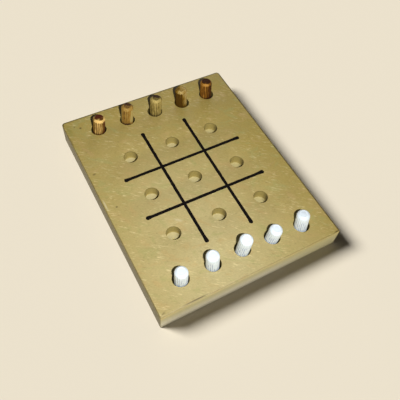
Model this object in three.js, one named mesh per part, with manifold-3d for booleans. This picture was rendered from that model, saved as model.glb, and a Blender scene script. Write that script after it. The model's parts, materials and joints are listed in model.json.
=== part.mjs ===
// A home-made tic tac toe set: a drilled wooden board, a painted 3 x 3 grid and ten fluted dowel
// pegs, five brown and five white, standing in their storage holes.
//
// Millimetres, +Z up. The origin is the centre of the board's underside. +X runs along the rows
// of pegs, and +Y runs from the white row to the brown row.

import * as THREE from "three";
import { mergeVertices } from "three/addons/utils/BufferGeometryUtils.js";
import Module from "manifold-3d";

const wasm = await Module();
wasm.setup();

// Board
const BOARD_WIDTH = 120;
const BOARD_LENGTH = 150;
const BOARD_THICKNESS = 15;
const CORNER_RADIUS = 1.2;
const CORNER_STEPS = 4;
const EDGE_ROUND = 0.8;
const EDGE_STEPS = 3;

// Holes
const PITCH_X = 30;
const PITCH_Y = 31;
const GRID_CENTRE_Y = -1.5;
const PLAY_HOLE = { diameter: 9, depth: 7 };
const STORE_HOLE = { diameter: 10, depth: 8 };
const STORE_PITCH = 20;
const STORE_ROW_Y = 59.5;
const HOLE_SIDES = 32;
const CUTTER_RISE = 2;
const GRID_SQUARES = 3;

// The board was marked out and drilled by hand, so each playing hole sits a little off its
// square: [x, y] of the slip, by row from the white side, and by column from the left.
const PLAY_SLIP = [
  [[-0.5, 0.5], [0, 0], [-0.5, -0.5]],
  [[0, 0], [0, 0], [0, -1.5]],
  [[0, 0.5], [-0.5, 0], [-1.5, 0]],
];

// Painted grid
const PAINT_THICKNESS = 0.1;
const LINE_WIDTH = 2;
const LINE_END_WIDTH = 2.7;
const LINE_END_SIDES = 16;

// [start, end] of each brush stroke, on the board's top face
const STROKES = [
  [[-15.2, 43.5], [-15.5, -45]],
  [[15.6, 43.5], [14.6, -45.5]],
  [[-40, 14.2], [40.5, 14.2]],
  [[-39.5, -16.3], [40.5, -17]],
];

// Pegs
const PEG_RADIUS = 4;
const FLUTES = 20;
const FLUTE_DEPTH = 0.4;
const POINTS_PER_FLUTE = 3;
const CHAMFER_WIDTH = 1;
const CHAMFER_HEIGHT = 1.2;
const BLANK_MARGIN = 0.5;
const SEAT_GAP = 0.2;

// Every peg stands loose in a hole that is 2 mm wider than it. slip is how far its hole was
// drilled off its place, length is the peg's own, rest is where the peg's axis crosses the
// board's top face, measured from the hole's centre, and lean is its tilt towards +X and +Y, in
// degrees.
const BROWN_PEGS = [
  { length: 19, slip: [0.5, 0.5], rest: [0, -0.2], lean: [6, -2] },
  { length: 20.5, slip: [1, 0.5], rest: [0, 0.2], lean: [3, -1] },
  { length: 20.5, slip: [1, -0.5], rest: [0.5, -0.1], lean: [2, -1] },
  { length: 20.5, slip: [1.5, -1], rest: [-0.3, 0.5], lean: [-1.5, 1] },
  { length: 20, slip: [1, -1], rest: [-0.3, 0.1], lean: [-2.5, 1.5] },
];
const WHITE_PEGS = [
  { length: 19, slip: [0, 0], rest: [-0.2, -0.7], lean: [-0.5, 0.5] },
  { length: 20, slip: [0.5, 0], rest: [-0.6, -0.5], lean: [-3, 2.5] },
  { length: 22, slip: [0.5, 0.5], rest: [-0.4, -0.6], lean: [2, -2] },
  { length: 19, slip: [0.5, -0.5], rest: [-0.5, -0.5], lean: [2.5, -3] },
  { length: 20, slip: [1, -1.5], rest: [-0.6, -0.1], lean: [-3, 4.5] },
];

// Vertices closer than this are one vertex.
const MERGE_DISTANCE = 1e-4;

function toSolid(geometry) {
  const bare = geometry.index ? geometry.toNonIndexed() : geometry.clone();
  bare.deleteAttribute("normal");
  bare.deleteAttribute("uv");
  const merged = mergeVertices(bare, MERGE_DISTANCE);
  return new wasm.Manifold(
    new wasm.Mesh({
      numProp: 3,
      vertProperties: new Float32Array(merged.attributes.position.array),
      triVerts: new Uint32Array(merged.index.array),
    }),
  );
}

function toGeometry(solid) {
  const mesh = solid.getMesh();
  const geometry = new THREE.BufferGeometry();
  geometry.setAttribute("position", new THREE.BufferAttribute(mesh.vertProperties, 3));
  geometry.setIndex(new THREE.BufferAttribute(mesh.triVerts, 1));
  const flat = geometry.toNonIndexed();
  flat.computeVertexNormals();
  return flat;
}

function addMesh(group, name, geometry, material) {
  const mesh = new THREE.Mesh(geometry, material);
  mesh.name = name;
  group.add(mesh);
  return mesh;
}

function roundedRectangle(width, length, radius) {
  const x = width / 2 - radius;
  const y = length / 2 - radius;
  const shape = new THREE.Shape();
  shape.absarc(x, y, radius, 0, Math.PI / 2);
  shape.absarc(-x, y, radius, Math.PI / 2, Math.PI);
  shape.absarc(-x, -y, radius, Math.PI, Math.PI * 1.5);
  shape.absarc(x, -y, radius, Math.PI * 1.5, Math.PI * 2);
  return shape;
}

function storeHole(row, index, peg) {
  const x = (index - (BROWN_PEGS.length - 1) / 2) * STORE_PITCH + peg.slip[0];
  return new THREE.Vector2(x, row * STORE_ROW_Y + peg.slip[1]);
}

function playHole(row, column) {
  const [slipX, slipY] = PLAY_SLIP[row][column];
  const x = (column - 1) * PITCH_X + slipX;
  return new THREE.Vector2(x, GRID_CENTRE_Y + (row - 1) * PITCH_Y + slipY);
}

function holeCutter({ diameter, depth }, place) {
  const radius = diameter / 2;
  const profile = [
    new THREE.Vector2(0, -depth),
    new THREE.Vector2(radius, -depth),
    new THREE.Vector2(radius, CUTTER_RISE),
    new THREE.Vector2(0, CUTTER_RISE),
  ];
  const cutter = new THREE.LatheGeometry(profile, HOLE_SIDES);
  cutter.rotateX(Math.PI / 2);
  cutter.translate(place.x, place.y, BOARD_THICKNESS);
  return toSolid(cutter);
}

function boardGeometry() {
  const slab = new THREE.ExtrudeGeometry(roundedRectangle(BOARD_WIDTH, BOARD_LENGTH, CORNER_RADIUS), {
    depth: BOARD_THICKNESS - 2 * EDGE_ROUND,
    bevelThickness: EDGE_ROUND,
    bevelSize: EDGE_ROUND,
    bevelOffset: -EDGE_ROUND,
    bevelSegments: EDGE_STEPS,
    curveSegments: CORNER_STEPS,
  });
  slab.translate(0, 0, EDGE_ROUND);
  let solid = toSolid(slab);
  for (let row = 0; row < GRID_SQUARES; row++) {
    for (let column = 0; column < GRID_SQUARES; column++) {
      solid = solid.subtract(holeCutter(PLAY_HOLE, playHole(row, column)));
    }
  }
  for (const [row, pegs] of [[1, BROWN_PEGS], [-1, WHITE_PEGS]]) {
    pegs.forEach((peg, index) => {
      solid = solid.subtract(holeCutter(STORE_HOLE, storeHole(row, index, peg)));
    });
  }
  return toGeometry(solid);
}

function strokeSolid([start, end]) {
  const from = new THREE.Vector2(...start);
  const along = new THREE.Vector2(...end).sub(from);
  const bar = new THREE.BoxGeometry(along.length(), LINE_WIDTH, PAINT_THICKNESS);
  bar.rotateZ(along.angle());
  bar.translate(from.x + along.x / 2, from.y + along.y / 2, PAINT_THICKNESS / 2);
  let solid = toSolid(bar);
  for (const [x, y] of [start, end]) {
    const radius = LINE_END_WIDTH / 2;
    const dot = new THREE.CylinderGeometry(radius, radius, PAINT_THICKNESS, LINE_END_SIDES);
    dot.rotateX(Math.PI / 2);
    dot.translate(x, y, PAINT_THICKNESS / 2);
    solid = solid.add(toSolid(dot));
  }
  return solid;
}

function gridGeometry() {
  const solid = STROKES.map(strokeSolid).reduce((whole, stroke) => whole.add(stroke));
  return toGeometry(solid.translate([0, 0, BOARD_THICKNESS]));
}

// A grooved pin with a chamfer at both ends, standing on z = 0.
function pegGeometry(length) {
  const points = [];
  const count = FLUTES * POINTS_PER_FLUTE;
  for (let i = 0; i < count; i++) {
    const radius = i % POINTS_PER_FLUTE === 0 ? PEG_RADIUS - FLUTE_DEPTH : PEG_RADIUS;
    const angle = (i / count) * Math.PI * 2;
    points.push(new THREE.Vector2(radius * Math.cos(angle), radius * Math.sin(angle)));
  }
  const prism = new THREE.ExtrudeGeometry(new THREE.Shape(points), {
    depth: length,
    bevelEnabled: false,
  });

  // The blank is wider than the pin by the same slope as its chamfers, so that only they cut.
  const spareHeight = (BLANK_MARGIN * CHAMFER_HEIGHT) / CHAMFER_WIDTH;
  const end = PEG_RADIUS - CHAMFER_WIDTH;
  const side = PEG_RADIUS + BLANK_MARGIN;
  const blank = new THREE.LatheGeometry(
    [
      new THREE.Vector2(0, 0),
      new THREE.Vector2(end, 0),
      new THREE.Vector2(side, CHAMFER_HEIGHT + spareHeight),
      new THREE.Vector2(side, length - CHAMFER_HEIGHT - spareHeight),
      new THREE.Vector2(end, length),
      new THREE.Vector2(0, length),
    ],
    count,
  );
  blank.rotateX(Math.PI / 2);
  return toGeometry(toSolid(prism).intersect(toSolid(blank)));
}

function placePeg(mesh, row, index, peg) {
  const slopeX = Math.tan(THREE.MathUtils.degToRad(peg.lean[0]));
  const slopeY = Math.tan(THREE.MathUtils.degToRad(peg.lean[1]));
  const axis = new THREE.Vector3(slopeX, slopeY, 1).normalize();
  const up = new THREE.Vector3(0, 0, 1);
  const tilt = axis.angleTo(up);
  const heel = (PEG_RADIUS - CHAMFER_WIDTH) * Math.sin(tilt);
  const foot = BOARD_THICKNESS - STORE_HOLE.depth + SEAT_GAP + heel;
  const drop = BOARD_THICKNESS - foot;
  const hole = storeHole(row, index, peg);
  mesh.quaternion.setFromUnitVectors(up, axis);
  mesh.position.set(
    hole.x + peg.rest[0] - drop * slopeX,
    hole.y + peg.rest[1] - drop * slopeY,
    foot,
  );
}

const wood = new THREE.MeshStandardMaterial({ color: 0xb79f68, roughness: 0.55, metalness: 0 });
const blackPaint = new THREE.MeshStandardMaterial({ color: 0x0d0c0b, roughness: 0.5, metalness: 0 });
const brownWood = new THREE.MeshStandardMaterial({ color: 0x7c5527, roughness: 0.6, metalness: 0 });
const whitePaint = new THREE.MeshStandardMaterial({ color: 0xf2f2ee, roughness: 0.35, metalness: 0 });

const set = new THREE.Group();
addMesh(set, "board", boardGeometry(), wood);
addMesh(set, "grid_lines", gridGeometry(), blackPaint);
for (const [name, row, pegs, material] of [
  ["brown_peg", 1, BROWN_PEGS, brownWood],
  ["white_peg", -1, WHITE_PEGS, whitePaint],
]) {
  pegs.forEach((peg, index) => {
    const mesh = addMesh(set, `${name}_${index + 1}`, pegGeometry(peg.length), material);
    placePeg(mesh, row, index, peg);
  });
}

export default set;
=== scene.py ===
import json
import math

import bmesh
import bpy
from mathutils import Matrix, Vector, noise
from mathutils.geometry import delaunay_2d_cdt


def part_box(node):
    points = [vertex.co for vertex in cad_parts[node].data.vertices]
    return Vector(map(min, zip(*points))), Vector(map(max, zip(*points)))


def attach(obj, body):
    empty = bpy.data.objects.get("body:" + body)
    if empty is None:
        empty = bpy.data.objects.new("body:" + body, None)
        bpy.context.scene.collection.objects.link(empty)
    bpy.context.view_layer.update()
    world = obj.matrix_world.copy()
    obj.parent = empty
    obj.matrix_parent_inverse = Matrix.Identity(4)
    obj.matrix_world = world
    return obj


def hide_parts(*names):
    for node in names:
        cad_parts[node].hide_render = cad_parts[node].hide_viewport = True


# A home-made tic tac toe set. Meshes are made in millimetres and scaled to metres at the end.
# +X runs along the rows of pegs, +Y from the white row to the brown row, and +Z is up.

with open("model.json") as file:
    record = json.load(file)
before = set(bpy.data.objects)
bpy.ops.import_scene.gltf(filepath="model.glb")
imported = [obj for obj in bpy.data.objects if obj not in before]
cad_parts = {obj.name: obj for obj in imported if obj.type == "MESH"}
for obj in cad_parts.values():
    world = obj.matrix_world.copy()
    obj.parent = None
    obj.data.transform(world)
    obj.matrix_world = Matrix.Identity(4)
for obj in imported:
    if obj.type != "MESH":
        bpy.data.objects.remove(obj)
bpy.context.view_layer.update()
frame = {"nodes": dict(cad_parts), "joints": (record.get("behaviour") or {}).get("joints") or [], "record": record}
MM = 0.001
TURN = 2 * math.pi

# Values stored at the board's vertices for its material: painted shade with scuffs, and the drilled wood with a
# painted pool of light on the hole floors
BOARD_LAYERS = ("painted_shade_and_scuffs", "bore_wall", "floor_wood_and_light")

# Sides of a pin or a hole, in degrees from +X. FRONT faces the board's near left corner.
FRONT = -124
RIGHT = -34
BACK = 56
LEFT = 146

# Board
BOARD_LOW, BOARD_HIGH = (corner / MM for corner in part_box("board"))
BOARD_TOP = BOARD_HIGH.z
# By corner: far right, far left, near left, near right
CORNER_RADII = (2.2, 2.0, 0.4, 0.5)
CORNER_SIGNS = ((1, 1), (-1, 1), (-1, -1), (1, -1))
SHARPEST_CORNER = 0.05
TOP_EDGE_ROUND = 0.6
TOP_EDGE_BORDER = 0.7
UNDER_EDGE_ROUND = 0.25
EDGE_STEPS = 5
CORNER_STEPS = 6
OUTLINE_STEP = 2.0
SANDING_WOBBLE = 0.06
# Painted shade on the rounding of the top edge: dark on the far and right sides, and then lighter with scuffs on
# the near and left sides
SHADED_EDGE_BAND = 3
DARK_EDGE_RINGS = 4
SCUFFED_RINGS = 6
NEAR_LEFT_EDGE_SHADE = 0.45

# Holes
HOLE_SIDES = 72
HOLE_RIM_ROUND = 0.12
HOLE_RIM_STEPS = 3
# Shares of the way down the wall, and of the way out over the floor
WALL_RINGS = (0.2, 0.4, 0.6, 0.8, 0.97)
# A storage hole is wider than this radius, and is painted darker all round inside, a painted shade
STORE_HOLE_OVER = 4.75
DRILL_POINT = 0.3
DRILL_WOBBLE = 0.07
# A playing hole has a painted shadow on one side of its wall and outer floor, and painted shade under one side of
# its rim
SHADOW_CRESCENT_ANGLE = math.radians(-40)
SHADOW_CRESCENT = 1.05
RIM_SHADE_ANGLE = math.radians(75)
RIM_SHADE = 0.8
RIM_SHADE_RINGS = 4
# How much of the floor's bare wood shows inside its outer ring, which is painted brighter towards the near left, a
# painted pool of light
FLOOR_BARE = 0.35
# The CAD board's holes are found from its vertices: those well inside the board's height, in
# groups of at least so many whose neighbours lie no further apart than the gap
HOLE_POINT_MARGIN = 2
HOLE_POINT_GAP = 1.5
HOLE_POINTS = 9

# Painted grid
PAINT_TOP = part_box("grid_lines")[1].z / MM
PAINT_SINK = 0.02
# The two ends of each stroke, as in the CAD film
STROKES = [
    ((-15.2, 43.5), (-15.5, -45)),
    ((15.6, 43.5), (14.6, -45.5)),
    ((-40, 14.2), (40.5, 14.2)),
    ((-39.5, -16.3), (40.5, -17)),
]
LINE_HALF_WIDTH = 1.0
LINE_END_RADIUS = 1.35
LINE_STEP = 0.7
LINE_WOBBLE = 0.14
LINE_END_SWELL = 1.9
BLOB_STEPS = 14
BLOB_WOBBLE = 0.12

# Pegs
PEG_RADIUS = 4.0
FLUTES = 20
POINTS_PER_FLUTE = 10
FLUTE_UNEVENNESS = 0.35
PEG_WOBBLE = 0.03
PEG_RING_STEP = 0.45
SHOULDER_STEPS = 8
PEG_END_RINGS = (0.86, 0.7, 0.5, 0.3, 0.12)
# How much of a pin stands in its hole, and how much of its top its shoulder takes
FOOT_DEPTH = 7.8
SHOULDER_DEPTH = 1.6
# How softly the stain's zones and patches end
SPOT_BLUR = 0.5
SPOT_CENTRE = 1.5
PATCH_STEEPNESS = 1.6
UPPER_DEPTH = 5

# Camera, set out from the middle of the painted grid
CAMERA_AZIMUTH = math.radians(-34.24)
CAMERA_ELEVATION = math.radians(56.84)
CAMERA_ROLL = math.radians(6.92)
CAMERA_DISTANCE = 313.6
CAMERA_SIDE_STEP = 3.15
CAMERA_RISE = -14.95
CAMERA_LENS = 44.72
SENSOR_WIDTH = 36

# Light
FLASH_AZIMUTH = math.radians(-20.3)
FLASH_ELEVATION = math.radians(53.3)
FLASH_DISTANCE = 318
# The way the flash faces: out over the board, so that the far side gets its share of the light
FLASH_AIM = (66, 560, -90)
FLASH_SIZE = 6
FLASH_POWER = 1.8
# (azimuth, elevation, power) of the low fills
NEAR_FILL = (math.radians(-8), math.radians(7), 0.45)
BACK_FILL = (math.radians(150), math.radians(8), 0.3)
LOW_FILL_DISTANCE = 420
LOW_FILL_SIZE = 160
SUN_AZIMUTH = math.radians(-53)
SUN_ELEVATION = math.radians(43)
SUN_ANGLE = math.radians(24)
SUN_STRENGTH = 5.58
SKY_COLOUR = (1.0, 0.98, 0.95, 1)
SKY_STRENGTH = 0.035
FLOOR_COLOUR = (0.67, 0.607, 0.487, 1)
FLOOR_SIZE = 4000

# How mathutils fills an outline: only what lies inside it, and it welds points closer than this
INSIDE_OUTLINE = 1
CAP_WELD = 1e-6
PAINT_WELD = 1e-5


# ---------------------------------------------------------------- meshes

def ripple(x, y, z, fineness, seed):
    """Smooth noise from -1 to 1 at a point in millimetres."""
    return noise.noise(Vector((x, y, z)) * fineness + Vector((seed * 17.3, seed * 5.1, seed * 9.7)))


def finish_mesh(name, bm, material, crease=40, place=None):
    """Turns a mesh in millimetres into an object in metres."""
    bmesh.ops.recalc_face_normals(bm, faces=bm.faces)
    mesh = bpy.data.meshes.new(name)
    bm.to_mesh(mesh)
    bm.free()
    mesh.transform(Matrix.Scale(MM, 4))
    mesh.set_sharp_from_angle(angle=math.radians(crease))
    mesh.materials.append(material)
    piece = bpy.data.objects.new(name, mesh)
    if place is not None:
        piece.matrix_world = place
    bpy.context.scene.collection.objects.link(piece)
    return piece


def bridge(bm, lower, upper):
    """Joins two rings with the same number of vertices."""
    count = len(lower)
    for i in range(count):
        j = (i + 1) % count
        face = bm.faces.new((lower[i], lower[j], upper[j], upper[i]))
        face.smooth = True


def fan(bm, ring, tip):
    """Joins a ring to one vertex."""
    count = len(ring)
    for i in range(count):
        face = bm.faces.new((ring[i], ring[(i + 1) % count], tip))
        face.smooth = True


def cap(bm, loops):
    """Fills the flat face inside the first loop of vertices and outside the others."""
    corners = [vertex for loop in loops for vertex in loop]
    edges, owner = [], []
    for number, loop in enumerate(loops):
        first = len(owner)
        count = len(loop)
        edges += [(first + i, first + (i + 1) % count) for i in range(count)]
        owner += [number] * count
    flat = [vertex.co.to_2d() for vertex in corners]
    _, _, triangles, origins, _, _ = delaunay_2d_cdt(flat, edges, [], INSIDE_OUTLINE, CAP_WELD)
    for triangle in triangles:
        indices = [origins[i][0] for i in triangle]
        owners = {owner[i] for i in indices}
        in_a_hole = len(owners) == 1 and 0 not in owners
        if not in_a_hole:
            bm.faces.new([corners[i] for i in indices])


# ---------------------------------------------------------------- board

def outline(inset):
    """Points around the board, inset from its sides."""
    corners = []
    for number, ((sign_x, sign_y), full) in enumerate(zip(CORNER_SIGNS, CORNER_RADII)):
        radius = max(full - inset, SHARPEST_CORNER)
        reach = inset + radius
        centre = Vector((sign_x * (BOARD_HIGH.x - reach), sign_y * (BOARD_HIGH.y - reach)))
        corner = []
        for step in range(CORNER_STEPS + 1):
            angle = (number + step / CORNER_STEPS) * TURN / 4
            corner.append(centre + radius * Vector((math.cos(angle), math.sin(angle))))
        corners.append(corner)
    points = []
    for number, corner in enumerate(corners):
        start, after = corner[-1], corners[(number + 1) % 4][0]
        side = 2 * (BOARD_HIGH.x, BOARD_HIGH.y)[number % 2]
        steps = round(side / OUTLINE_STEP)
        points += corner + [start.lerp(after, step / steps) for step in range(1, steps)]
    return points


def board_profile():
    """[inset, height] from the underside's flat to the top's flat."""
    steps = [TURN / 4 * i / EDGE_STEPS for i in range(EDGE_STEPS + 1)]
    under = [(UNDER_EDGE_ROUND * (1 - math.sin(a)), UNDER_EDGE_ROUND * (1 - math.cos(a))) for a in steps]
    over = [
        (TOP_EDGE_ROUND * (1 - math.cos(a)), BOARD_TOP - TOP_EDGE_ROUND * (1 - math.sin(a)))
        for a in steps
    ]
    return under + over + [(TOP_EDGE_ROUND + TOP_EDGE_BORDER, BOARD_TOP)]


def board_holes():
    """(centre, radius, floor height) of every hole drilled in the CAD board."""
    points = set()
    for vertex in frame["nodes"]["board"].data.vertices:
        x, y, z = vertex.co / MM
        if HOLE_POINT_MARGIN < z < BOARD_TOP - HOLE_POINT_MARGIN:
            points.add((round(x, 2), round(y, 2), round(z)))
    holes = []
    while points:
        group = [points.pop()]
        for x, y, z in group:
            near = {p for p in points if math.hypot(p[0] - x, p[1] - y) < HOLE_POINT_GAP}
            points -= near
            group += near
        if len(group) >= HOLE_POINTS:
            xs, ys, zs = zip(*group)
            centre = Vector((min(xs) + max(xs), min(ys) + max(ys))) / 2
            holes.append((centre, (max(xs) - min(xs)) / 2, min(zs)))
    return sorted(holes, key=lambda hole: (hole[0].y, hole[0].x))


def hole_profile(radius, floor, point):
    """[radius, height] down the rim and the wall, and then from the wall in over the floor."""
    foot = floor + point
    steps = [TURN / 4 * i / HOLE_RIM_STEPS for i in range(HOLE_RIM_STEPS + 1)]
    rim = [
        (radius + HOLE_RIM_ROUND * (1 - math.sin(a)), BOARD_TOP - HOLE_RIM_ROUND * (1 - math.cos(a)))
        for a in steps
    ]
    wall = [(radius, BOARD_TOP + (foot - BOARD_TOP) * share) for share in WALL_RINGS]
    base = [(radius * share, foot - point * (1 - share)) for share in reversed(WALL_RINGS)]
    return rim + wall, base


def towards(angle, side):
    """1 on the side named, falling to 0 a quarter turn away from it."""
    return max(0, math.cos(angle - side))


def hole_light_and_shade(angle, ring, wall_rings, stored):
    """(bare wood on the floor with a painted pool of light at its near left edge, painted shade and shadow) at an
    angle in one ring of a hole.
    """
    outer_floor = wall_rings <= ring <= wall_rings + 1
    bare = 0
    # The outer floor ring is painted brighter towards the near left, a painted pool of light
    if outer_floor:
        bare = FLOOR_BARE + (1 - FLOOR_BARE) * towards(angle, math.radians(FRONT))
    elif ring > wall_rings:
        bare = FLOOR_BARE
    if ring < 2:
        return bare, 0
    # A storage hole is painted dark all round inside, a painted shade
    if stored:
        return bare, 1
    # A painted shadow on one side of the wall and outer floor, and painted shade on the far side of the rim
    shadow_crescent = SHADOW_CRESCENT * towards(angle, SHADOW_CRESCENT_ANGLE) ** 2 if ring <= wall_rings + 1 else 0
    rim_shade = RIM_SHADE * towards(angle, RIM_SHADE_ANGLE) if ring < RIM_SHADE_RINGS else 0
    return bare, max(shadow_crescent, rim_shade)


def drill(bm, centre, radius, floor, seed):
    """Adds a hole's wall and floor, and returns the loop of its rim."""
    stored = radius > STORE_HOLE_OVER
    wall, base = hole_profile(radius, floor, 0 if stored else DRILL_POINT)
    painted_shade_and_scuffs, bore_wall, floor_wood_and_light = (bm.verts.layers.float[name] for name in BOARD_LAYERS)
    rings = []
    for number, (ring_radius, height) in enumerate(wall + base):
        ring = []
        for i in range(HOLE_SIDES):
            angle = TURN * i / HOLE_SIDES
            x, y = math.cos(angle), math.sin(angle)
            rough = DRILL_WOBBLE * ripple(x * radius, y * radius, height, 0.9, seed)
            spread = ring_radius + rough if number < len(wall) else ring_radius
            vertex = bm.verts.new((centre.x + x * spread, centre.y + y * spread, height))
            vertex[bore_wall] = 0 < number < len(wall)
            vertex[floor_wood_and_light], vertex[painted_shade_and_scuffs] = hole_light_and_shade(angle, number, len(wall), stored)
            ring.append(vertex)
        rings.append(ring)
    for vertex in rings[0]:
        vertex.co.z = BOARD_TOP
    for upper, lower in zip(rings, rings[1:]):
        bridge(bm, upper, lower)
    tip = bm.verts.new((centre.x, centre.y, floor))
    tip[floor_wood_and_light] = 1
    fan(bm, rings[-1], tip)
    return rings[0]


def make_board(material):
    bm = bmesh.new()
    for name in BOARD_LAYERS:
        bm.verts.layers.float.new(name)
    painted_shade_and_scuffs = bm.verts.layers.float["painted_shade_and_scuffs"]
    profile = board_profile()
    rings = []
    for number, (inset, height) in enumerate(profile):
        ring = []
        for point in outline(inset):
            sanded = SANDING_WOBBLE * (0.5 + 0.5 * ripple(point.x, point.y, 0, 0.11, 3))
            keep = 1 - sanded / BOARD_HIGH.x
            vertex = bm.verts.new((point.x * keep, point.y * keep, height))
            vertex[painted_shade_and_scuffs] = edge_shade_at(point, number, len(profile))
            ring.append(vertex)
        rings.append(ring)
    for lower, upper in zip(rings, rings[1:]):
        bridge(bm, lower, upper)
    rims = [drill(bm, *hole, seed) for seed, hole in enumerate(board_holes())]
    cap(bm, [rings[0]])
    cap(bm, [rings[-1], *rims])
    return finish_mesh("board_body", bm, material)


def edge_shade_at(point, ring, rings):
    """How dark the painted shade is on an eased edge: all round the bottom, and mostly far and right above, with
    scuffs on the near and left.
    """
    from_top = rings - 1 - ring
    # The rounding under the bottom edge is painted dark all round, a painted shade along the floor
    if ring < EDGE_STEPS - 1:
        return 1.0
    if not 0 < from_top < SCUFFED_RINGS:
        return 0.0
    # The far and right top edges, turned away from the light, get the full painted shade
    if point.y > BOARD_HIGH.y - SHADED_EDGE_BAND or point.x > BOARD_HIGH.x - SHADED_EDGE_BAND:
        return 1.0 if from_top < DARK_EDGE_RINGS else 0.0
    # The near and left top edges get a lighter painted shade that damps their highlight, and scuffs
    scuffed = 2 * ripple(point.x, point.y, 0, 0.09, 21) - 0.4
    return max(NEAR_LEFT_EDGE_SHADE if from_top > 1 else 0.0, scuffed if from_top < DARK_EDGE_RINGS else 0.0)


# ---------------------------------------------------------------- painted grid

def stroke_outline(start, end, seed):
    """A brushed line with an uneven width and a round blob at each end."""
    along = (end - start).normalized()
    side = Vector((-along.y, along.x))
    length = (end - start).length
    steps = round(length / LINE_STEP)
    points = []
    for sign in (-1, 1):
        edge = []
        for step in range(2, steps - 1):
            place = start.lerp(end, step / steps)
            near_end = min(step, steps - step) * LINE_STEP
            swell = (LINE_END_RADIUS - LINE_HALF_WIDTH) * math.exp(-((near_end / LINE_END_SWELL) ** 2))
            wobble = LINE_WOBBLE * ripple(place.x, place.y, sign * 4, 0.45, seed)
            edge.append(place + side * sign * (LINE_HALF_WIDTH + swell + wobble))
        blob_centre = end if sign < 0 else start
        turn_from = math.atan2(side.y * sign, side.x * sign)
        if sign > 0:
            edge.reverse()
        blob = []
        for step in range(1, BLOB_STEPS):
            angle = turn_from + TURN / 2 * step / BLOB_STEPS
            x, y = math.cos(angle), math.sin(angle)
            reach = LINE_END_RADIUS * (1 + BLOB_WOBBLE * ripple(x, y, 0, 1.3, seed))
            blob.append(blob_centre + reach * Vector((x, y)))
        points += edge + blob
    return points


def make_grid(material):
    """The strokes as one film of paint: a closed solid, sunk a little into the board's top."""
    corners, faces = [], []
    for seed, (start, end) in enumerate(STROKES):
        ring = stroke_outline(Vector(start), Vector(end), seed + 11)
        faces.append(list(range(len(corners), len(corners) + len(ring))))
        corners += ring
    filled = delaunay_2d_cdt(corners, [], faces, INSIDE_OUTLINE, PAINT_WELD)
    flat, _, triangles, _, _, origins = filled
    bm = bmesh.new()
    film = [bm.verts.new((point.x, point.y, PAINT_TOP)) for point in flat]
    top = []
    for triangle, origin in zip(triangles, origins):
        if origin:
            top.append(bm.faces.new([film[i] for i in triangle]))
    loose = [vertex for vertex in film if not vertex.link_faces]
    bmesh.ops.delete(bm, geom=loose, context="VERTS")
    lower = bmesh.ops.extrude_face_region(bm, geom=top, use_keep_orig=True)["geom"]
    for item in lower:
        if isinstance(item, bmesh.types.BMVert):
            item.co.z = BOARD_TOP - PAINT_SINK
    return finish_mesh("painted_grid", bm, material, crease=30)


# ---------------------------------------------------------------- pegs

def flute(angle, sharpness):
    """0 on a land, and 1 at the bottom of a flute."""
    return (0.5 - 0.5 * math.cos(FLUTES * angle)) ** sharpness


# shoulder is its width and height, and fill is where the stain in the brown pins' flutes, and the grey in the
# white pins' flutes, starts below the top, and over what height it grows
BROWN_SHAPE = {
    "depth": 0.42, "sharpness": 2.2, "shoulder": (1.3, 1.5), "shoulder_power": 1.2,
    "crown": 0.06, "end_noise": 0.10, "fill": (0.5, 1.0),
}
WHITE_SHAPE = {
    "depth": 0.3, "sharpness": 1.6, "shoulder": (1.6, 2.1), "shoulder_power": 2.0,
    "crown": 0.25, "end_noise": 0.05, "fill": (2.8, 4.0),
}


def shoulder_radius(height, length, shape):
    """The pin's outer radius at a height: full in the middle and drawn in at both ends."""
    width, rise = shape["shoulder"]
    from_end = min(height, length - height)
    share = max(0.0, 1 - from_end / rise)
    return PEG_RADIUS - width * share ** shape["shoulder_power"]


def peg_heights(length, shape):
    """The rings' heights, closer together in the shoulders at both ends."""
    rise = shape["shoulder"][1]
    ends = [rise * i / SHOULDER_STEPS for i in range(SHOULDER_STEPS + 1)]
    steps = round((length - 2 * rise) / PEG_RING_STEP)
    middle = [rise + (length - 2 * rise) * i / steps for i in range(1, steps)]
    return ends + middle + [length - h for h in reversed(ends)]


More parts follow.
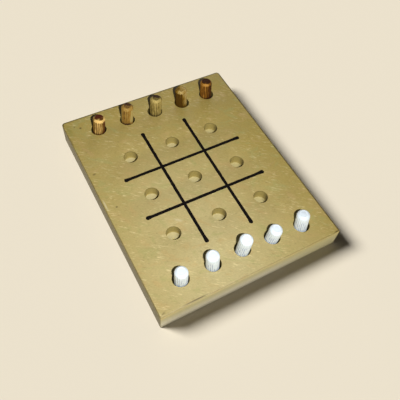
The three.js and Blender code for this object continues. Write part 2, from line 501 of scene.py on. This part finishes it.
def make_peg(name, length, shape, material, place, stain, seed):
    """A fluted pin that stands on z = 0 in its own frame."""
    bm = bmesh.new()
    groove = bm.verts.layers.float.new("groove")
    dark = bm.verts.layers.float.new("dark")
    count = FLUTES * POINTS_PER_FLUTE

    def add(angle, radius, height, depth):
        x, y = radius * math.cos(angle), radius * math.sin(angle)
        vertex = bm.verts.new((x, y, height))
        vertex[groove] = depth
        vertex[dark] = stain(math.degrees(angle), radius, height - length)
        return vertex

    fill_from, fill_over = shape["fill"]
    rings = []
    for height in peg_heights(length, shape):
        outer = shoulder_radius(height, length, shape)
        filled = min(1.0, max(0.0, (length - height - fill_from) / fill_over))
        ring = []
        for i in range(count):
            angle = TURN * i / count
            x, y = PEG_RADIUS * math.cos(angle), PEG_RADIUS * math.sin(angle)
            uneven = 1 + FLUTE_UNEVENNESS * ripple(x, y, height, 0.35, seed)
            body = PEG_RADIUS - shape["depth"] * flute(angle + seed, shape["sharpness"]) * uneven
            radius = min(outer, body) + PEG_WOBBLE * (ripple(x, y, height, 0.8, seed + 0.5) - 1)
            ring.append(add(angle, radius, height, filled * max(0.0, outer - body) / shape["depth"]))
        rings.append(ring)
    for lower, upper in zip(rings, rings[1:]):
        bridge(bm, lower, upper)
    for ring, height, out in ((rings[0], 0, 0), (rings[-1], length, shape["crown"])):
        previous = ring
        for share in PEG_END_RINGS:
            inner = []
            for i, vertex in enumerate(ring):
                angle = TURN * i / count
                x, y = vertex.co.x * share, vertex.co.y * share
                lift = out * (1 - share ** 2) - out
                rough = shape["end_noise"] * (ripple(x, y, height, 1.1, seed) - 0.5) * (1 - share ** 4)
                sign = 1 if height else -1
                inner.append(add(angle, math.hypot(x, y), height + sign * (lift + rough), 0))
            bridge(bm, previous, inner)
            previous = inner
        tip_height = sum(vertex.co.z for vertex in previous) / count
        fan(bm, previous, add(0, 0, tip_height, 0))
    return finish_mesh(name, bm, material, crease=60, place=place)


def peg_place(node_name):
    """(matrix that stands a pin in its hole, length) from the CAD peg and its joint."""
    joint = next(joint for joint in frame["joints"] if joint["child"] == node_name)
    axis = Vector(joint["axis"]).normalized()
    turn = Vector((0, 0, 1)).rotation_difference(axis).to_matrix()
    points = [turn.transposed() @ v.co for v in frame["nodes"][node_name].data.vertices]
    low = Vector(min(p[i] for p in points) for i in range(3))
    high = Vector(max(p[i] for p in points) for i in range(3))
    foot = turn @ Vector(((low.x + high.x) / 2, (low.y + high.y) / 2, low.z))
    return Matrix.Translation(foot) @ turn.to_4x4(), (high.z - low.z) / MM


# ---------------------------------------------------------------- nodes

def node(tree, kind, inputs=None, **settings):
    """Adds a node, and sets or links its inputs, named by their label or number."""
    made = tree.nodes.new(kind)
    for key, value in settings.items():
        setattr(made, key, value)
    for key, value in (inputs or {}).items():
        if isinstance(value, bpy.types.NodeSocket):
            tree.links.new(value, made.inputs[key])
        else:
            made.inputs[key].default_value = value
    return made


def new_material(name):
    material = bpy.data.materials.new(name)
    material.use_nodes = True
    tree = material.node_tree
    return material, tree, tree.nodes["Principled BSDF"]


def millimetres(tree):
    """The point's place in its own piece, in millimetres."""
    place = node(tree, "ShaderNodeTexCoord").outputs["Object"]
    return node(tree, "ShaderNodeVectorMath", {0: place, "Scale": 1 / MM}, operation="SCALE").outputs[0]


def stretched(tree, place, size, turn=0.0, centre=(0, 0, 0)):
    """Place measured from a centre, along turned axes, in units of size."""
    inputs = {"Vector": place, "Location": centre, "Rotation": (0, 0, math.radians(turn)), "Scale": size}
    return node(tree, "ShaderNodeMapping", inputs, vector_type="TEXTURE").outputs[0]


def cloud(tree, place, detail=2.0, roughness=0.5, distortion=0.0, seed=0.0):
    """Noise from 0 to 1. A seed gives another pattern at the same place."""
    inputs = {"Vector": place, "Scale": 1, "Detail": detail, "Roughness": roughness, "Distortion": distortion}
    if seed:
        inputs["W"] = seed
    made = node(tree, "ShaderNodeTexNoise", inputs, noise_dimensions="4D" if seed else "3D")
    return made.outputs["Fac"]


def remap(tree, value, low, high, to_low=0.0, to_high=1.0):
    """Eases from to_low at low to to_high at high."""
    inputs = {"Value": value, "From Min": low, "From Max": high, "To Min": to_low, "To Max": to_high}
    made = node(tree, "ShaderNodeMapRange", inputs, interpolation_type="SMOOTHSTEP")
    return made.outputs["Result"]


def mix(tree, factor, first, second, kind="MIX"):
    """The node keeps its colour sockets at 6 and 7, and its colour result at 2."""
    inputs = {0: factor, 6: first, 7: second}
    return node(tree, "ShaderNodeMix", inputs, data_type="RGBA", blend_type=kind).outputs[2]


def maths(tree, operation, first, second=0.0):
    return node(tree, "ShaderNodeMath", {0: first, 1: second}, operation=operation).outputs[0]


def part_of(tree, vector, axis):
    """X, Y or Z of a vector, for axis 0, 1 or 2."""
    return node(tree, "ShaderNodeSeparateXYZ", {0: vector}).outputs[axis]


def distance_from(tree, place):
    return node(tree, "ShaderNodeVectorMath", {0: place}, operation="LENGTH").outputs["Value"]


def attribute(tree, name):
    """A value stored in the mesh, by vertex."""
    return node(tree, "ShaderNodeAttribute", attribute_name=name).outputs["Fac"]


def bump(tree, height, depth, strength=1.0):
    """Depth is in millimetres for a height from 0 to 1."""
    inputs = {"Height": height, "Distance": depth * MM, "Strength": strength}
    return node(tree, "ShaderNodeBump", inputs).outputs["Normal"]


# ---------------------------------------------------------------- materials

# The way the board's fibres lie, in degrees, and a height that makes a flat mark reach through it
FIBRE_TURN = -38
RIGHT_THROUGH = 1000

VARNISH = (0.37, 0.275, 0.068, 1)
SHEEN_VARNISH = (0.47, 0.388, 0.178, 1)
GREEN_BLOTCH = (0.345, 0.325, 0.11, 1)
ORANGE_BLOTCH = (0.455, 0.32, 0.12, 1)
PALE_FIBRE = (0.72, 0.60, 0.30, 1)
DARK_FIBRE = (0.24, 0.18, 0.055, 1)
BARE_SIDE = (0.37, 0.32, 0.155, 1)
BARE_SIDE_FOOT = (0.50, 0.455, 0.32, 1)
SIDE_FOOT_SHADE = (0.21, 0.18, 0.10, 1)
YELLOWED_SIDE = (0.41, 0.355, 0.155, 1)
LEFT_SHADE_VARNISH = (0.255, 0.21, 0.055, 1)
LEFT_SHADE_SIDE = (0.21, 0.17, 0.06, 1)
LEFT_SHADE_FOOT = (0.10, 0.08, 0.02, 1)
BORE_WALL = (0.38, 0.295, 0.085, 1)
BORE_FLOOR = (0.53, 0.44, 0.15, 1)
PAINTED_SHADE_BROWN = (0.075, 0.053, 0.012, 1)
BLACK = (0.0015, 0.001, 0.001, 1)
WORN_BLACK = (0.006, 0.004, 0.003, 1)
WHITE = (0.81, 0.91, 0.98, 1)
BRIGHT_WHITE = (0.87, 0.96, 1.0, 1)
WHITE_FLUTE = (0.43, 0.50, 0.66, 1)
WHITE_MARK = (0.45, 0.47, 0.52, 1)

DARK_MARK = (0.10, 0.07, 0.02, 1)
PALE_MARK = (0.62, 0.54, 0.32, 1)
GREEN_MARK = (0.17, 0.19, 0.035, 1)
# (centre, half size, turn in degrees, colour, strength)
BOARD_MARKS = [
    ((-50, 66), (0.95, 0.8), 0, DARK_MARK, 0.95),
    ((-53.5, 68.3), (0.7, 0.6), 0, DARK_MARK, 0.7),
    ((-53, -1), (0.9, 0.7), 0, DARK_MARK, 0.8),
    ((-56, 27), (1.3, 0.8), 0, DARK_MARK, 0.6),
    ((-57.5, 66), (2.2, 7.0), 0, GREEN_MARK, 0.35),
    ((-58.6, 3), (0.7, 5.0), 0, PALE_MARK, 0.6),
    ((-24, -25.5), (3.2, 1.2), -40, PALE_MARK, 0.45),
    ((-38, -74.2), (8.5, 0.45), 0, DARK_MARK, 0.8),
    ((-57.5, -73.2), (1.8, 0.7), 25, DARK_MARK, 0.5),
]


def varnish(tree, place, wander):
    """Deeper on the right and far sides, paler on the near left as a painted sheen, and blotched."""
    # The paler near left is a painted sheen
    sheen_centre = stretched(tree, place, (62, 108, RIGHT_THROUGH), 0, (-15, -68, 0))
    reach = maths(tree, "ADD", distance_from(tree, sheen_centre), maths(tree, "MULTIPLY", wander, 0.5))
    colour = mix(tree, remap(tree, reach, 0.2, 1.8, 1, 0), VARNISH, SHEEN_VARNISH)
    blotch = cloud(tree, stretched(tree, place, (11, 7, 11), FIBRE_TURN), 3, 0.6, 0.8)
    colour = mix(tree, remap(tree, blotch, 0.52, 0.70, 0, 0.5), colour, GREEN_BLOTCH)
    return mix(tree, remap(tree, blotch, 0.47, 0.30, 0, 0.6), colour, ORANGE_BLOTCH)


def with_fibres(tree, place, colour, fibre):
    """Short pressed fibres, pale in patches and dark all over."""
    patches = remap(tree, cloud(tree, stretched(tree, place, (9, 9, 9)), 2, seed=2.0), 0.36, 0.56)
    pale = maths(tree, "MULTIPLY", remap(tree, fibre, 0.55, 0.72, 0, 0.6), patches)
    colour = mix(tree, pale, colour, PALE_FIBRE)
    second = cloud(tree, stretched(tree, place, (3.2, 0.7, 0.8), FIBRE_TURN + 9), 2, 0.6, seed=5.0)
    return mix(tree, remap(tree, second, 0.56, 0.74, 0, 0.5), colour, DARK_FIBRE)


def with_marks(tree, place, wander, colour):
    """Scratches, specks and smudges."""
    for centre, size, turn, tint, strength in BOARD_MARKS:
        spot = distance_from(tree, stretched(tree, place, (*size, RIGHT_THROUGH), turn, (*centre, 0)))
        ragged = maths(tree, "ADD", spot, maths(tree, "MULTIPLY", wander, 0.6))
        colour = mix(tree, remap(tree, ragged, 0.6, 1.5, strength, 0), colour, tint)
    return colour


def with_sides(tree, place, wander, colour, grey):
    """The varnish runs a little way down the sides, over the paler bare board, which is painted darker at its foot
    as a painted shade.
    """
    across, height = part_of(tree, place, 0), part_of(tree, place, 2)
    edge = maths(tree, "ADD", height, maths(tree, "MULTIPLY", wander, 4))
    bare = remap(tree, edge, BOARD_TOP + 2, BOARD_TOP - 2.5)
    # Darker at the foot of every side, a painted shade along the floor
    foot_shade = remap(tree, height, 4.2, 1.8, 0, 0.45)
    raw = mix(tree, remap(tree, height, 12, 3), BARE_SIDE, BARE_SIDE_FOOT)
    raw = mix(tree, foot_shade, raw, SIDE_FOOT_SHADE)
    raw = mix(tree, remap(tree, across, 5, 50, 0, 0.7), raw, YELLOWED_SIDE)
    colour = mix(tree, bare, colour, mix(tree, 1.0, raw, grey, "MULTIPLY"))

    # The left side is painted darker, a painted shade.
    left_shade = mix(tree, bare, LEFT_SHADE_VARNISH, LEFT_SHADE_SIDE)
    left_shade = mix(tree, foot_shade, left_shade, LEFT_SHADE_FOOT)
    left_shade_mask = remap(tree, across, BOARD_LOW.x + 0.5, BOARD_LOW.x + 0.1, 0, 0.75)
    return mix(tree, left_shade_mask, colour, left_shade)


def board_material():
    """Varnished fibreboard, drilled and grimy."""
    material, tree, shader = new_material("board_wood")
    place = millimetres(tree)
    wander = cloud(tree, stretched(tree, place, (26, 26, 26)), 3)
    fibre = cloud(tree, stretched(tree, place, (4.0, 0.75, 0.8), FIBRE_TURN), 2, 0.6, 0.3)
    fine = cloud(tree, stretched(tree, place, (1.3, 0.35, 0.5), FIBRE_TURN), 4, 0.7)
    shade = remap(tree, fine, 0.3, 0.7, 0.88, 1.12)
    grey = node(tree, "ShaderNodeCombineColor", {0: shade, 1: shade, 2: shade}).outputs[0]

    colour = with_fibres(tree, place, varnish(tree, place, wander), fibre)
    colour = mix(tree, 1.0, colour, grey, "MULTIPLY")
    colour = with_marks(tree, place, wander, colour)
    colour = with_sides(tree, place, wander, colour, grey)
    colour = mix(tree, attribute(tree, "bore_wall"), colour, BORE_WALL)
    colour = mix(tree, attribute(tree, "floor_wood_and_light"), colour, BORE_FLOOR)
    # Painted shade on the eased edges and in the holes, with scuffs
    shade_and_scuffs = maths(tree, "MULTIPLY", attribute(tree, "painted_shade_and_scuffs"), remap(tree, fine, 0.2, 0.6, 0.5, 0.95))
    colour = mix(tree, shade_and_scuffs, colour, PAINTED_SHADE_BROWN)

    tree.links.new(colour, shader.inputs["Base Color"])
    tree.links.new(remap(tree, fine, 0.3, 0.7, 0.42, 0.6), shader.inputs["Roughness"])
    relief = maths(tree, "ADD", fine, maths(tree, "MULTIPLY", fibre, 0.7))
    tree.links.new(bump(tree, relief, 0.05), shader.inputs["Normal"])
    return material


def black_paint():
    """Matt paint, uneven in tone."""
    material, tree, shader = new_material("black_paint")
    place = millimetres(tree)
    fine = cloud(tree, stretched(tree, place, (0.9, 0.9, 0.9)), 3, 0.6)
    colour = mix(tree, fine, BLACK, WORN_BLACK)
    tree.links.new(colour, shader.inputs["Base Color"])
    shader.inputs["Specular IOR Level"].default_value = 0.12
    tree.links.new(remap(tree, fine, 0.3, 0.7, 0.7, 0.9), shader.inputs["Roughness"])
    tree.links.new(bump(tree, fine, 0.03), shader.inputs["Normal"])
    return material


def brown_wood(name, pale, middle, deep, groove_shade):
    """Stained birch: three colours from bare to dark, driven by the pin's own stain and flutes, with painted shade
    where it stands in its hole.
    """
    material, tree, shader = new_material(name)
    place = millimetres(tree)
    grain = cloud(tree, stretched(tree, place, (0.55, 0.55, 7)), 4, 0.65, 0.2)
    patch = cloud(tree, stretched(tree, place, (2.2, 2.2, 4.5)), 2, 0.5)
    dark = maths(tree, "MULTIPLY", attribute(tree, "groove"), groove_shade)
    dark = maths(tree, "ADD", attribute(tree, "dark"), dark)
    dark = maths(tree, "ADD", dark, remap(tree, grain, 0.3, 0.7, -0.2, 0.2))
    # The pin is painted darker where it goes into its hole, a painted shade
    inside = remap(tree, part_of(tree, place, 2), FOOT_DEPTH + 0.3, FOOT_DEPTH - 1.2, 0, 0.4)
    dark = maths(tree, "ADD", dark, inside)
    dark = maths(tree, "ADD", dark, remap(tree, patch, 0.3, 0.7, -0.10, 0.10))
    colour = mix(tree, remap(tree, dark, 0.05, 0.5), pale, middle)
    colour = mix(tree, remap(tree, dark, 0.5, 1.0), colour, deep)
    tree.links.new(colour, shader.inputs["Base Color"])
    shader.inputs["Specular IOR Level"].default_value = 0.1
    tree.links.new(remap(tree, grain, 0.3, 0.7, 0.55, 0.75), shader.inputs["Roughness"])
    tree.links.new(bump(tree, grain, 0.08), shader.inputs["Normal"])
    return material


def white_paint():
    """Thick paint, bluish, and streaked darker grey-blue in the flutes."""
    material, tree, shader = new_material("white_paint")
    place = millimetres(tree)
    fine = cloud(tree, stretched(tree, place, (0.7, 0.7, 1.6)), 3, 0.6)
    streak = cloud(tree, stretched(tree, place, (0.9, 0.9, 5)), 3, 0.6)
    flute_grey = maths(tree, "MULTIPLY", attribute(tree, "groove"), remap(tree, streak, 0.38, 0.58, 0.25, 1.0))
    colour = mix(tree, remap(tree, fine, 0.3, 0.7), WHITE, BRIGHT_WHITE)
    colour = mix(tree, remap(tree, flute_grey, 0.1, 0.9), colour, WHITE_FLUTE)
    mark = maths(tree, "MULTIPLY", attribute(tree, "dark"), remap(tree, fine, 0.3, 0.6, 0.5, 1.0))
    colour = mix(tree, mark, colour, WHITE_MARK)
    tree.links.new(colour, shader.inputs["Base Color"])
    tree.links.new(remap(tree, streak, 0.3, 0.7, 0.3, 0.45), shader.inputs["Roughness"])
    tree.links.new(bump(tree, fine, 0.04), shader.inputs["Normal"])
    return material


# ---------------------------------------------------------------- stain on each pin

def angle_gap(first, second):
    """Degrees between two directions, the short way round."""
    return abs((first - second + 180) % 360 - 180)


def stained(top, shoulder, side, patches=(), top_patches=(), spot=2.0, upper=0.0):
    """A stain by zone, from 0, bare, to 1, darkest.

    spot is the radius of the zone on top, and upper is added to the side just under the shoulder.
    Patches are (angle, half width, extra) in degrees, on the side or on the top and shoulder.
    """
    def stain(angle, radius, height_from_top):
        if height_from_top > -SHOULDER_DEPTH:
            share = min(1.0, max(0.0, (radius - spot) / SPOT_BLUR))
            value = top + (shoulder - top) * share
            for centre, half, extra in top_patches:
                inside = max(0.0, 1 - angle_gap(angle, centre) / half)
                value += extra * inside * min(1, radius / SPOT_CENTRE)
            return value
        value = side + upper * max(0.0, 1 + (height_from_top + SHOULDER_DEPTH) / UPPER_DEPTH)
        for centre, half, extra in patches:
            inside = PATCH_STEEPNESS * (1 - angle_gap(angle, centre) / half)
            value += extra * min(1.0, max(0.0, inside))
        return value
    return stain


BROWN_STAINS = [
    stained(
        1.15, 0.3, 0.15,
        [(RIGHT, 60, 0.6), (LEFT, 60, 0.35)], [(FRONT, 60, -1.0), (RIGHT, 50, -0.3)], spot=2.5,
    ),
    stained(0.75, 0.45, 0.1, [(FRONT, 60, 0.45)], [(BACK, 100, 0.9)]),
    stained(0.65, 0.2, 0.3, [], [(BACK, 110, 1.4)], upper=-0.2),
    stained(0.35, 0.3, 0.15, [(-152, 108, 1.0), (-84, 28, -0.3)], [(LEFT, 70, 0.5)], upper=-0.3),
    stained(
        1.25, 0.25, 0.35, [(-60, 60, 0.5)], [(FRONT, 40, -0.6), (RIGHT, 60, 0.6)], spot=2.6,
    ),
]
# For each pin: bare wood, stained wood, darkest stain, and how dark the flutes are
BROWN_COLOURS = [
    ((0.72, 0.47, 0.15, 1), (0.21, 0.12, 0.02, 1), (0.075, 0.016, 0.006, 1), 0.75),
    ((0.43, 0.345, 0.12, 1), (0.33, 0.185, 0.035, 1), (0.06, 0.028, 0.012, 1), 0.18),
    ((0.49, 0.37, 0.12, 1), (0.23, 0.17, 0.04, 1), (0.045, 0.025, 0.012, 1), 0.55),
    ((0.52, 0.39, 0.15, 1), (0.23, 0.13, 0.014, 1), (0.085, 0.04, 0.004, 1), 0.5),
    ((0.42, 0.20, 0.035, 1), (0.22, 0.09, 0.009, 1), (0.045, 0.015, 0.005, 1), 0.55),
]
WHITE_STAINS = [
    stained(0.3, 0.1, 0.0),
    stained(0.2, 0.05, 0.0),
    stained(0.1, 0.0, 0.0),
    stained(0.2, 0.05, 0.0),
    stained(0.35, 0.15, 0.0, [], [(BACK, 110, 0.25)], spot=1.6),
]


# ---------------------------------------------------------------- stage, light, camera

def aim(thing, position, target):
    """Puts a light at a position, looking at a target."""
    thing.location = position
    thing.rotation_euler = (target - position).to_track_quat("-Z", "Y").to_euler()


def direction(azimuth, elevation):
    """From the object towards something seen at that azimuth and elevation. 0 is the near side."""
    flat = math.cos(elevation)
    return Vector((math.sin(azimuth) * flat, -math.cos(azimuth) * flat, math.sin(elevation)))


def make_camera(middle):
    back = direction(CAMERA_AZIMUTH, CAMERA_ELEVATION)
    level = Vector((math.cos(CAMERA_AZIMUTH), math.sin(CAMERA_AZIMUTH), 0))
    upright = back.cross(level)
    cosine, sine = math.cos(CAMERA_ROLL), math.sin(CAMERA_ROLL)
    right = cosine * level + sine * upright
    up = -sine * level + cosine * upright
    offset = right * CAMERA_SIDE_STEP + up * CAMERA_RISE + back * CAMERA_DISTANCE
    data = bpy.data.cameras.new("camera")
    data.lens = CAMERA_LENS
    data.sensor_width = SENSOR_WIDTH
    data.clip_start = 0.01
    camera = bpy.data.objects.new("camera", data)
    facing = Matrix((right, up, back)).transposed().to_4x4()
    camera.matrix_world = Matrix.Translation(middle + offset * MM) @ facing
    bpy.context.scene.collection.objects.link(camera)
    bpy.context.scene.camera = camera


def make_floor():
    material, _, shader = new_material("floor")
    shader.inputs["Base Color"].default_value = FLOOR_COLOUR
    shader.inputs["Roughness"].default_value = 1.0
    shader.inputs["Specular IOR Level"].default_value = 0.0
    bm = bmesh.new()
    bmesh.ops.create_grid(bm, x_segments=1, y_segments=1, size=FLOOR_SIZE)
    floor = finish_mesh("floor", bm, material)
    return floor


def add_light(name, kind, **settings):
    data = bpy.data.lights.new(name, kind)
    for key, value in settings.items():
        setattr(data, key, value)
    light = bpy.data.objects.new(name, data)
    bpy.context.scene.collection.objects.link(light)
    return light


def limit_light(light, piece, state):
    """The light falls only on the piece (INCLUDE), or on everything but it (EXCLUDE)."""
    receivers = bpy.data.collections.new(f"{light.name}_receivers")
    receivers.objects.link(piece)
    receivers.collection_objects[0].light_linking.link_state = state
    light.light_linking.receiver_collection = receivers


def add_low_fill(name, middle, azimuth, elevation, power):
    fill = add_light(name, "AREA", shape="DISK", size=LOW_FILL_SIZE * MM, energy=power)
    aim(fill, middle + direction(azimuth, elevation) * LOW_FILL_DISTANCE * MM, middle)
    return fill


def make_lights(middle, floor, board):
    """A flash and two low fills on the object, and a soft sun that shades only the floor."""
    flash = add_light("flash", "AREA", shape="DISK", size=FLASH_SIZE * MM, energy=FLASH_POWER)
    flash_place = middle + direction(FLASH_AZIMUTH, FLASH_ELEVATION) * FLASH_DISTANCE * MM
    aim(flash, flash_place, flash_place + Vector(FLASH_AIM))
    limit_light(flash, floor, "EXCLUDE")
    limit_light(add_low_fill("near_fill", middle, *NEAR_FILL), board, "INCLUDE")
    limit_light(add_low_fill("back_fill", middle, *BACK_FILL), floor, "EXCLUDE")
    sun = add_light("floor_sun", "SUN", energy=SUN_STRENGTH, angle=SUN_ANGLE)
    away = Vector((math.sin(SUN_AZIMUTH), math.cos(SUN_AZIMUTH), 0)) * math.cos(SUN_ELEVATION)
    aim(sun, away + Vector((0, 0, math.sin(SUN_ELEVATION))), Vector())
    limit_light(sun, floor, "INCLUDE")
    world = bpy.data.worlds.new("studio")
    world.use_nodes = True
    sky = world.node_tree.nodes["Background"]
    sky.inputs["Color"].default_value = SKY_COLOUR
    sky.inputs["Strength"].default_value = SKY_STRENGTH
    bpy.context.scene.world = world
    bpy.context.scene.view_settings.view_transform = "Standard"


def place_piece(piece, body, node_name):
    """Makes a piece ride on its body in place of the CAD node."""
    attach(piece, body)
    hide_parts(node_name)


def make_pins(kind, shape, materials, stains, first_seed):
    """One side's pins, each standing in its hole in place of the CAD peg."""
    for number, (material, stain) in enumerate(zip(materials, stains), 1):
        node_name = f"{kind}_peg_{number}"
        place, length = peg_place(node_name)
        seed = first_seed + number
        pin = make_peg(f"{kind}_pin_{number}", length, shape, material, place, stain, seed)
        place_piece(pin, node_name, node_name)


openings = {box["name"]: box["box_m"] for box in frame["record"]["physics"]["openings"]}
low, high = openings["middle_middle_playing_hole"]
grid_middle = Vector(((low[0] + high[0]) / 2, (low[1] + high[1]) / 2, BOARD_TOP * MM))

make_camera(grid_middle)
board = make_board(board_material())
make_lights(grid_middle, make_floor(), board)

place_piece(board, "board", "board")
place_piece(make_grid(black_paint()), "board", "grid_lines")
woods = [brown_wood(f"brown_wood_{number}", *colours) for number, colours in enumerate(BROWN_COLOURS, 1)]
make_pins("brown", BROWN_SHAPE, woods, BROWN_STAINS, 0)
make_pins("white", WHITE_SHAPE, [white_paint()] * len(WHITE_STAINS), WHITE_STAINS, 10)
